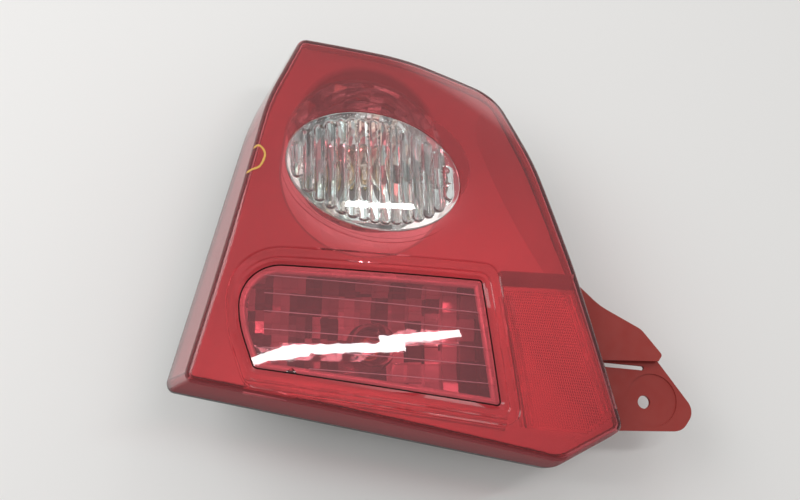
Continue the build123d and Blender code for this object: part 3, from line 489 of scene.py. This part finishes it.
screw_steel = steel("screw_steel", (0.6, 0.6, 0.58), roughness=0.28)
pin_steel = steel("pin_steel", (0.55, 0.55, 0.56), roughness=0.24)
mark_paint = painted("mark_paint", (0.66, 0.42, 0.11), dust=(0.58, 0.34, 0.08))
line_plastic = moulded("line_plastic", (0.42, 0.4, 0.42), roughness=0.3)
# Black for the strip around the pane, which is painted shade of the gap there
shadow_gap_black = dull_black("shadow_gap_black")
foam = moulded("gasket_foam", (0.02, 0.02, 0.021), roughness=0.85, grain=260.0, depth=0.0006)

NODE_SHADERS = {
    "lens_red": red_lens,
    "lens_clear": clear_lens,
    "reflex_reflector": red_reflex,
    "bezel": bezel_metal,
    "turn_reflector": bowl_metal,
    "stop_reflector": trough_metal,
    "turn_bulb_glass": amber_glass,
    "stop_bulb_glass": plain_glass,
    "turn_bulb_cap": brass,
    "stop_bulb_cap": brass,
    "turn_filament": wire,
    "stop_filament": wire,
    "housing": black_plastic,
    "lens_seal": sealant,
    "turn_socket": grey_plastic,
    "stop_socket": grey_plastic,
    "turn_socket_seal": rubber,
    "stop_socket_seal": rubber,
    "turn_contacts": contact_metal,
    "stop_contacts": contact_metal,
    "mounting_bracket": bracket_paint,
    "bracket_screws": screw_steel,
    "reflector_screws": screw_steel,
    "upper_locating_pin": pin_steel,
    "outer_locating_pin": pin_steel,
    "vent_caps": rubber,
    "rear_gasket": foam,
}
for name, shader in NODE_SHADERS.items():
    nodes[name].data.materials.clear()
    nodes[name].data.materials.append(shader.material)


# Pieces


def dome_height(x, y, drop=0.0):
    """Height of the domed front over a place in plan, or of a surface at a depth below it."""
    reach = np.hypot(x - DOME_X, y - DOME_Y)
    crown_sine = CROWN_REACH / CROWN_R
    crown = LENS_TOP - CROWN_R + np.sqrt(CROWN_R**2 - np.minimum(reach, CROWN_REACH) ** 2)
    sine = crown_sine + np.maximum(reach - CROWN_REACH, 0) / SHOULDER_R
    sine = np.clip(sine, crown_sine, STEEPEST_SINE)
    roll = SHOULDER_R * (math.sqrt(1 - crown_sine**2) - np.sqrt(1 - sine**2))
    return crown - roll - drop


def make_piece(name, points, faces, shader, slot, sharp=40.0, replaces=()):
    """Mesh piece from points in millimetres that rides on the lamp, with its faces turned outward."""
    mesh = bpy.data.meshes.new(name)
    places = (np.asarray(points, float) * MM).tolist()
    mesh.from_pydata(places, [], [list(map(int, face)) for face in faces])
    mesh.validate()
    solid = bmesh.new()
    solid.from_mesh(mesh)
    bmesh.ops.recalc_face_normals(solid, faces=solid.faces)
    solid.to_mesh(mesh)
    solid.free()
    mesh.polygons.foreach_set("use_smooth", [True] * len(mesh.polygons))
    mesh.set_sharp_from_angle(angle=math.radians(sharp))
    mesh.materials.append(shader.material)
    piece = bpy.data.objects.new(name, mesh)
    bpy.context.scene.collection.objects.link(piece)
    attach(piece, "root")
    if replaces:
        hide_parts(*replaces)


def ring_faces(rings, segments):
    """Quads that join each ring of points to the next."""
    faces = []
    for ring in range(rings - 1):
        for index in range(segments):
            after = (index + 1) % segments
            low, high = ring * segments, (ring + 1) * segments
            faces.append((low + index, low + after, high + after, high + index))
    return faces


def end_faces(count, segments):
    """Faces that close the first and the last ring of a count of points."""
    return [range(segments)[::-1], range(count - segments, count)]


def joined(parts):
    """Points and faces of several parts as one mesh."""
    points, faces = [], []
    for more, rings in parts:
        faces += [[index + len(points) for index in ring] for ring in rings]
        points += list(more)
    return points, faces


def left_of(path, closed=False):
    """Sideways direction at each place along a path."""
    if closed:
        ahead = np.roll(path, -1, 0) - np.roll(path, 1, 0)
    else:
        ahead = np.gradient(path, axis=0)
    ahead /= np.linalg.norm(ahead, axis=1)[:, None]
    return np.stack([-ahead[:, 1], ahead[:, 0]], -1)


def flute_depth(x, y):
    """Depth of the upright flutes behind the clear window, with round ends."""
    a, b = TURN_A - FLUTE_MARGIN, TURN_B - FLUTE_MARGIN
    half = a / FLUTE_COUNT
    index = np.clip(np.floor((x - TURN_X + a) / (2 * half)), 0, FLUTE_COUNT - 1)
    middle = TURN_X - a + (2 * index + 1) * half
    across = middle - TURN_X
    c, s = math.cos(TURN_TILT), math.sin(TURN_TILT)
    p = (s / a) ** 2 + (c / b) ** 2
    q = across * c * s * (1 / a**2 - 1 / b**2)
    r = across**2 * ((c / a) ** 2 + (s / b) ** 2) - 1
    root = np.sqrt(np.maximum(q * q - p * r, 0)) / p
    top, low = TURN_Y - q / p + root - half, TURN_Y - q / p - root + half
    beyond = np.maximum(np.maximum(y - top, low - y), 0)
    share = np.hypot(x - middle, beyond) / half
    return FLUTE_DEPTH * np.sqrt(np.clip(1 - share**2, 0, 1))


def make_clear_window():
    """Clear oval with a rounded lip in front and flutes behind."""
    turn = np.arange(TURN_SEGMENTS) * 2 * math.pi / TURN_SEGMENTS
    flat = np.linspace(TURN_CORE, TURN_FLAT, TURN_RINGS - RIM_RINGS)
    rim = np.cos(np.linspace(RIM_START, math.pi / 2, RIM_RINGS)) ** RIM_POWER
    share = np.append(flat, 1 - (1 - TURN_FLAT) * rim)
    along = TURN_A * np.outer(share, np.cos(turn))
    across = TURN_B * np.outer(share, np.sin(turn))
    x = TURN_X + along * math.cos(TURN_TILT) - across * math.sin(TURN_TILT)
    y = TURN_Y + along * math.sin(TURN_TILT) + across * math.cos(TURN_TILT)
    edge = np.clip(1 - (1 - share) * TURN_B / TURN_LIP, 0, 1)[:, None]
    front = dome_height(x, y) + TURN_PROUD - TURN_LIP * (1 - np.sqrt(1 - edge**2))
    back = dome_height(x, y, TURN_WALL) - flute_depth(x, y)
    top = np.stack([x, y, front], -1).reshape(-1, 3)
    under = np.stack([x, y, back], -1)[::-1].reshape(-1, 3)
    points = np.concatenate([top, under])
    faces = ring_faces(2 * TURN_RINGS, TURN_SEGMENTS) + end_faces(len(points), TURN_SEGMENTS)
    replaces = ["lens_clear"]
    make_piece("clear_window", points, faces, clear_lens, "clear_lens", sharp=60.0, replaces=replaces)


def inside(place, outline):
    """Whether a place lies inside a convex anticlockwise outline."""
    for (x0, y0), (x1, y1) in zip(outline, outline[1:] + outline[:1]):
        if (x1 - x0) * (place[1] - y0) - (y1 - y0) * (place[0] - x0) < -EDGE_TOLERANCE:
            return False
    return True


def make_reflex():
    """Reflex panel: a plain rim around rows of small pyramids."""
    upper_left, lower_left, _, lower_right, upper_right = (np.array(corner) for corner in REFLEX)
    lower_right = upper_right + (lower_right - upper_right) * REFLEX_RUN
    columns = round((lower_right[0] - lower_left[0]) / PRISM_PITCH)
    rows = round((upper_left[1] - lower_left[1]) / PRISM_PITCH)
    sides = [(0, -1), (1, 0), (0, 1), (-1, 0)]

    def corner(column, row):
        along, up = column / columns, row / rows
        low = lower_left + (lower_right - lower_left) * along
        return low + (upper_left + (upper_right - upper_left) * along - low) * up

    def corners(column, row):
        return [(column, row), (column + 1, row), (column + 1, row + 1), (column, row + 1)]

    cells = set()
    for column in range(columns):
        for row in range(rows):
            if all(inside(corner(*place), REFLEX) for place in corners(column, row)):
                cells.add((column, row))
    core = set()
    for column, row in cells:
        amid = all((column + i, row + j) in cells for i, j in sides)
        if amid and column < columns - REFLEX_RIM:
            core.add((column, row))

    points, faces, known = [], [], {}

    def point(column, row, depth):
        key = (column, row, depth)
        if key not in known:
            x, y = corner(column, row)
            known[key] = len(points)
            points.append((x, y, dome_height(x, y, depth)))
        return known[key]

    def wall(start, end, top, base):
        return [point(*start, top), point(*start, base), point(*end, base), point(*end, top)]

    front, back = LENS_WALL + REFLEX_GAP, LENS_WALL + REFLEX_WALL
    high = back - PRISM_DEPTH
    for cell in cells:
        base = high if cell in core else back
        ring = corners(*cell)
        faces.append([point(*place, front) for place in ring])
        under = [point(*place, base) for place in ring]
        if cell in core:
            apex = point(cell[0] + MIDDLE, cell[1] + MIDDLE, back)
            faces += [(under[(k + 1) % 4], under[k], apex) for k in range(4)]
        else:
            faces.append(under[::-1])
        for k, (i, j) in enumerate(sides):
            beside = (cell[0] + i, cell[1] + j)
            start, end = ring[k], ring[(k + 1) % 4]
            if beside not in cells:
                faces.append(wall(start, end, front, base))
            elif beside in core and cell not in core:
                faces.append(wall(start, end, high, base))
    replaces = ["reflex_reflector"]
    make_piece("reflex_prisms", points, faces, red_reflex, "red_reflex", sharp=20.0, replaces=replaces)


def inset_corners(corners, inset):
    """Corners of an anticlockwise outline after every side moves inward."""
    corners = np.array(corners, float)
    ahead = np.roll(corners, -1, 0) - corners
    ahead /= np.linalg.norm(ahead, axis=1)[:, None]
    start = corners + inset * np.stack([-ahead[:, 1], ahead[:, 0]], -1)
    moved = []
    for index in range(len(corners)):
        before, along = start[index - 1], ahead[index - 1]
        gap, turn = start[index] - before, ahead[index]
        run = (gap[0] * turn[1] - gap[1] * turn[0]) / (along[0] * turn[1] - along[1] * turn[0])
        moved.append(before + along * run)
    return np.array(moved)


def rounded_path(corners, radii):
    """Places along a closed anticlockwise outline with rounded corners."""
    path = []
    for index, (corner, radius) in enumerate(zip(corners, radii)):
        back = corners[index - 1] - corner
        ahead = corners[(index + 1) % len(corners)] - corner
        back, ahead = back / np.linalg.norm(back), ahead / np.linalg.norm(ahead)
        half = math.acos(np.clip(back @ ahead, -1, 1)) / 2
        middle = (back + ahead) / np.linalg.norm(back + ahead)
        centre = corner + middle * radius / math.sin(half)
        bend = math.pi - 2 * half
        first = corner + back * radius / math.tan(half) - centre
        steps = max(int(radius * bend / CORNER_PITCH), CORNER_STEPS)
        for turn in np.linspace(0, bend, steps + 1):
            c, s = math.cos(turn), math.sin(turn)
            path.append(centre + (c * first[0] - s * first[1], s * first[0] + c * first[1]))
    return np.array(path)


def spread(path, closed=False):
    """Same path with extra places along its long straights."""
    path = np.array(path)
    ends = np.roll(path, -1, 0) if closed else path[1:]
    places = []
    for start, end in zip(path, ends):
        count = max(int(np.linalg.norm(end - start) / TRIM_PITCH), 1)
        places += [start + (end - start) * index / count for index in range(count)]
    return np.array(places if closed else places + [path[-1]])


def sweep(path, section, closed=False):
    """Points and faces of a section of insets and depths that runs along a path on the lens."""
    side = left_of(path, closed)
    rings = []
    for inset, depth in section:
        place = path + side * inset
        rings.append(np.column_stack([place, dome_height(place[:, 0], place[:, 1], depth)]))
    points = np.stack(rings, 1).reshape(-1, 3)
    count, size = len(section), len(points)
    faces = ring_faces(len(path), count)
    if closed:
        last = size - count
        for index in range(count):
            after = (index + 1) % count
            faces.append((last + index, last + after, after, index))
    else:
        faces += end_faces(size, count)
    return points, faces


def bead_section(middle, radius, base):
    """Half round bead that stands on a base depth."""
    top = base - BEAD_FOOT
    turns = np.linspace(0, math.pi, BEAD_TURNS)
    arc = [(middle + radius * math.cos(turn), top - radius * math.sin(turn)) for turn in turns]
    return [(middle + radius, base), *arc, (middle - radius, base)]


def make_reflex_step():
    """Step of the bezel over the reflex panel, in a darker metal that paints the shade under the step."""
    upper_left, upper_right = np.array(REFLEX[0]), np.array(REFLEX[-1])
    base, far = BEZEL_DROP + TRIM_SINK, -STEP_HIGH - STEP_WIDTH
    step = [(-STEP_LOW, base), (-STEP_HIGH, STEP_TOP), (far, STEP_TOP), (far, base)]
    path = spread([upper_right + (STEP_REACH, 0.0), upper_left])
    make_piece("reflex_step", *sweep(path, step), shaded_step_metal, "bezel_metallised")


def make_reflex_beads():
    """Bright beads along both sides of the reflex panel."""
    upper_left, lower_left, _, lower_right, upper_right = (np.array(corner) for corner in REFLEX)
    beads = []
    for start, end in ((lower_right, upper_right), (upper_left, lower_left)):
        run = end - start
        path = spread([start + run * BEAD_START, end - run * BEAD_END])
        for inset in REFLEX_BEADS:
            beads.append(sweep(path, bead_section(inset, REFLEX_BEAD, BEZEL_DROP + TRIM_SINK)))
    make_piece("reflex_beads", *joined(beads), lip_metal, "bezel_metallised")


def make_trough_lip():
    """Bright lip of the trough behind the pane's edge."""
    outline = spread(rounded_path(np.array(WINDOW), WINDOW_RADII), closed=True)
    radius = LIP_WIDTH / 2 - LIP_FLAT
    bead = bead_section(LIP_INSET + LIP_WIDTH - radius, radius, LIP_DEPTH)
    lip = [*bead[:-1], (LIP_INSET, LIP_DEPTH - BEAD_FOOT), (LIP_INSET, LIP_DEPTH)]
    make_piece("trough_lip", *sweep(outline, lip, closed=True), lip_metal, "bowl_metallised")


def make_pane_shadow_gap():
    """Black strip around the pane, painted shade of the gap at the foot of its step."""
    outline = spread(rounded_path(np.array(WINDOW), WINDOW_RADII), closed=True)
    top, base = PANE_DEPTH - JOINT_HEIGHT, PANE_DEPTH + JOINT_HEIGHT
    crest = PANE_DEPTH - JOINT_CREST
    joint = [(JOINT_OUTER, base), (JOINT_INNER, base), (JOINT_INNER, top), (JOINT_OUTER, crest)]
    make_piece("pane_shadow_gap", *sweep(outline, joint, closed=True), shadow_gap_black, "sealant")


def make_window_ledges():
    """Bright ledges of the bezel below the window."""
    start, end = np.array(WINDOW[2]), np.array(WINDOW[3])
    ahead = (end - start) / np.linalg.norm(end - start)
    outward = np.array((ahead[1], -ahead[0]))
    start, end = start - ahead * LEDGE_RUN, end + ahead * LEDGE_RUN
    section = bead_section(0.0, LEDGE_R, BEZEL_DROP + TRIM_SINK)
    ledges = []
    for offset in LEDGE_OFFSETS:
        ledges.append(sweep(spread([start + outward * offset, end + outward * offset]), section))
    make_piece("window_ledges", *joined(ledges), lip_metal, "bezel_metallised")


def make_pane_lines():
    """Thin ribs across the back of the pane."""
    pane = [tuple(corner) for corner in inset_corners(WINDOW, PANE_INSET)]
    low, high = PANE_BACK - LINE_SINK, PANE_BACK + LINE_RISE
    section = [(-LINE_HALF, low), (-LINE_HALF, high), (LINE_HALF, high), (LINE_HALF, low)]
    xs = np.arange(LINE_START, LINE_END, LINE_STEP)
    lines = []
    for level in np.arange(LINE_LOWEST, LINE_HIGHEST, LINE_PITCH):
        line = np.column_stack([xs, level + (xs - LINE_START) * LINE_SLOPE])
        line = np.array([place for place in line if inside(place, pane)])
        if len(line) >= LINE_PLACES:
            lines.append(sweep(line, section))
    make_piece("pane_lines", *joined(lines), line_plastic, "red_lens")


def smooth_line(points, steps):
    """Places along a smooth line through points in plan."""
    points = np.array(points)
    padded = np.array([2 * points[0] - points[1], *points, 2 * points[-1] - points[-2]])
    line = []
    for p0, p1, p2, p3 in zip(padded, padded[1:], padded[2:], padded[3:]):
        slope = p2 - p0
        bend = 2 * p0 - 5 * p1 + 4 * p2 - p3
        twist = 3 * p1 - p0 - 3 * p2 + p3
        for t in np.arange(steps) / steps:
            line.append(p1 + (slope * t + bend * t**2 + twist * t**3) / 2)
    return np.array(line + [padded[-2]])


def height_on(surface, x, y):
    """Height of a surface under a place over the lens."""
    return surface.ray_cast(Vector((x, y, LENS_TOP)) * MM, DOWN)[0].z / MM


def make_mark():
    """Paint pen loop that lies on the lens and bends over its rounded edge."""
    mesh = nodes["lens_red"].data
    polygons = [face.vertices[:] for face in mesh.polygons]
    lens = BVHTree.FromPolygons([spot.co for spot in mesh.vertices], polygons)
    line = smooth_line(MARK, MARK_STEPS)
    side = left_of(line)
    step = np.arange(len(line))
    wobble = 1 + sum(height * np.sin(step * pace) for height, pace in MARK_WAVES)
    taper = np.clip(np.minimum(step, step[::-1]) / MARK_TAPER, MARK_TIP, 1.0)
    rings = []
    for across, rise in MARK_SECTION:
        place = line + side * (across * MARK_WIDTH * wobble * taper)[:, None]
        height = [height_on(lens, x, y) + rise * MARK_RISE for x, y in place]
        rings.append(np.column_stack([place, height]))
    points = np.stack(rings, 1).reshape(-1, 3)
    count = len(MARK_SECTION)
    faces = ring_faces(len(line), count) + end_faces(len(points), count)
    make_piece("paint_mark", points, faces, mark_paint, "red_lens")


make_clear_window()
make_reflex()
make_reflex_step()
make_reflex_beads()
make_trough_lip()
make_pane_shadow_gap()
make_window_ledges()
make_pane_lines()
make_mark()


# Floor, light and camera

# Floor under the lowest point of the lamp, in metres
FLOOR_Z = cad_box[0][2]
FLOOR_REACH = 4.0
FLOOR_COLOR, FLOOR_ROUGHNESS = (0.84, 0.835, 0.825, 1.0), 0.6

# Sky: direction, where its cosine starts and ends, and the levels there
SKY = ((-0.2, 0.75, 0.5), -0.65, 0.87, 0.2, 0.74)
SKY_GLOW = ((0.52, 0.83, -0.03), 0.93, 1.0, 0.0, 1.8)
SKY_COLOR = (1.0, 0.995, 0.985, 1.0)

# Ceiling tubes: both ends in plan, width and radiance, in metres
CEILING = 1.5
TUBES = {
    "tube_left": ((-0.247, 0.203), (-0.105, 0.250), 0.03, 28.0),
    "tube_near": ((-0.125, 0.246), (0.375, 0.286), 0.036, 28.0),
    "tube_next": ((0.265, 0.306), (0.643, 0.368), 0.034, 28.0),
    "tube_ghost": ((0.330, 0.300), (0.500, 0.326), 0.014, 12.0),
    "tube_far": ((0.138, 0.907), (0.468, 0.945), 0.03, 28.0),
}
KEY_PLACE, KEY_TARGET = Vector((-1.05, 0.45, 0.85)), Vector((-0.15, 0.08, 0.0))
KEY_SIZE, KEY_RADIANCE = 0.8, 3.1

# Camera: place and target in millimetres as in the part's source
CAMERA_PLACE, CAMERA_TARGET = (-263.18, -58.61, 618.2), (-157.58, 73.39, 55.0)
SENSOR_WIDTH, FOCAL_LENGTH, CLIP_START = 36.0, 49.5, 0.01


def make_floor():
    mesh = bpy.data.meshes.new("floor")
    corners = [(-1, -1), (1, -1), (1, 1), (-1, 1)]
    places = [(x * FLOOR_REACH, y * FLOOR_REACH, FLOOR_Z) for x, y in corners]
    mesh.from_pydata(places, [], [(0, 1, 2, 3)])
    floor = bpy.data.objects.new("floor", mesh)
    bpy.context.scene.collection.objects.link(floor)
    shader = Shader("floor")
    shader.set(Base_Color=FLOOR_COLOR, Roughness=FLOOR_ROUGHNESS)
    mesh.materials.append(shader.material)


def area_light(name, place, turn, width, height, radiance):
    data = bpy.data.lights.new(name, "AREA")
    data.shape = "RECTANGLE"
    data.size = width
    data.size_y = height
    data.energy = radiance * math.pi * width * height
    lamp = bpy.data.objects.new(name, data)
    bpy.context.scene.collection.objects.link(lamp)
    lamp.rotation_euler = turn
    lamp.location = place


def tube(name, start, end, width, radiance):
    """Ceiling tube that shines straight down."""
    start, end = Vector((*start, CEILING)), Vector((*end, CEILING))
    along = end - start
    turn = (0.0, 0.0, math.atan2(along.y, along.x))
    area_light(name, (start + end) / 2, turn, along.length, width, radiance)


def make_sky():
    world = bpy.data.worlds.new("world")
    world.use_nodes = True
    bpy.context.scene.world = world
    tree = world.node_tree
    background = tree.nodes["Background"]
    place = tree.nodes.new("ShaderNodeTexCoord")
    total = tree.nodes.new("ShaderNodeMath")
    for index, (toward, *limits) in enumerate((SKY, SKY_GLOW)):
        tilt = tree.nodes.new("ShaderNodeVectorMath")
        tilt.operation = "DOT_PRODUCT"
        tilt.inputs[1].default_value = Vector(toward).normalized()
        level = tree.nodes.new("ShaderNodeMapRange")
        level.interpolation_type = "SMOOTHSTEP"
        for socket, value in zip(("From Min", "From Max", "To Min", "To Max"), limits):
            level.inputs[socket].default_value = value
        tree.links.new(place.outputs["Generated"], tilt.inputs[0])
        tree.links.new(tilt.outputs["Value"], level.inputs["Value"])
        tree.links.new(level.outputs[0], total.inputs[index])
    tree.links.new(total.outputs[0], background.inputs["Strength"])
    background.inputs["Color"].default_value = SKY_COLOR


def make_lamps():
    for name, settings in TUBES.items():
        tube(name, *settings)
    turn = (KEY_TARGET - KEY_PLACE).to_track_quat("-Z", "Y").to_euler()
    area_light("key", KEY_PLACE, turn, KEY_SIZE, KEY_SIZE, KEY_RADIANCE)


def make_camera():
    place, target = Vector(CAMERA_PLACE) * MM, Vector(CAMERA_TARGET) * MM
    ahead = (target - place).normalized()
    right = ahead.cross(Vector((0, 1, 0))).normalized()
    up = right.cross(ahead)
    data = bpy.data.cameras.new("camera")
    data.sensor_fit = "HORIZONTAL"
    data.sensor_width = SENSOR_WIDTH
    data.lens = FOCAL_LENGTH
    data.clip_start = CLIP_START
    camera = bpy.data.objects.new("camera", data)
    camera.matrix_world = Matrix((right, up, -ahead)).transposed().to_4x4()
    camera.location = place
    bpy.context.scene.collection.objects.link(camera)
    bpy.context.scene.camera = camera


make_floor()
make_sky()
make_lamps()
make_camera()
bpy.context.scene.view_settings.view_transform = "Standard"
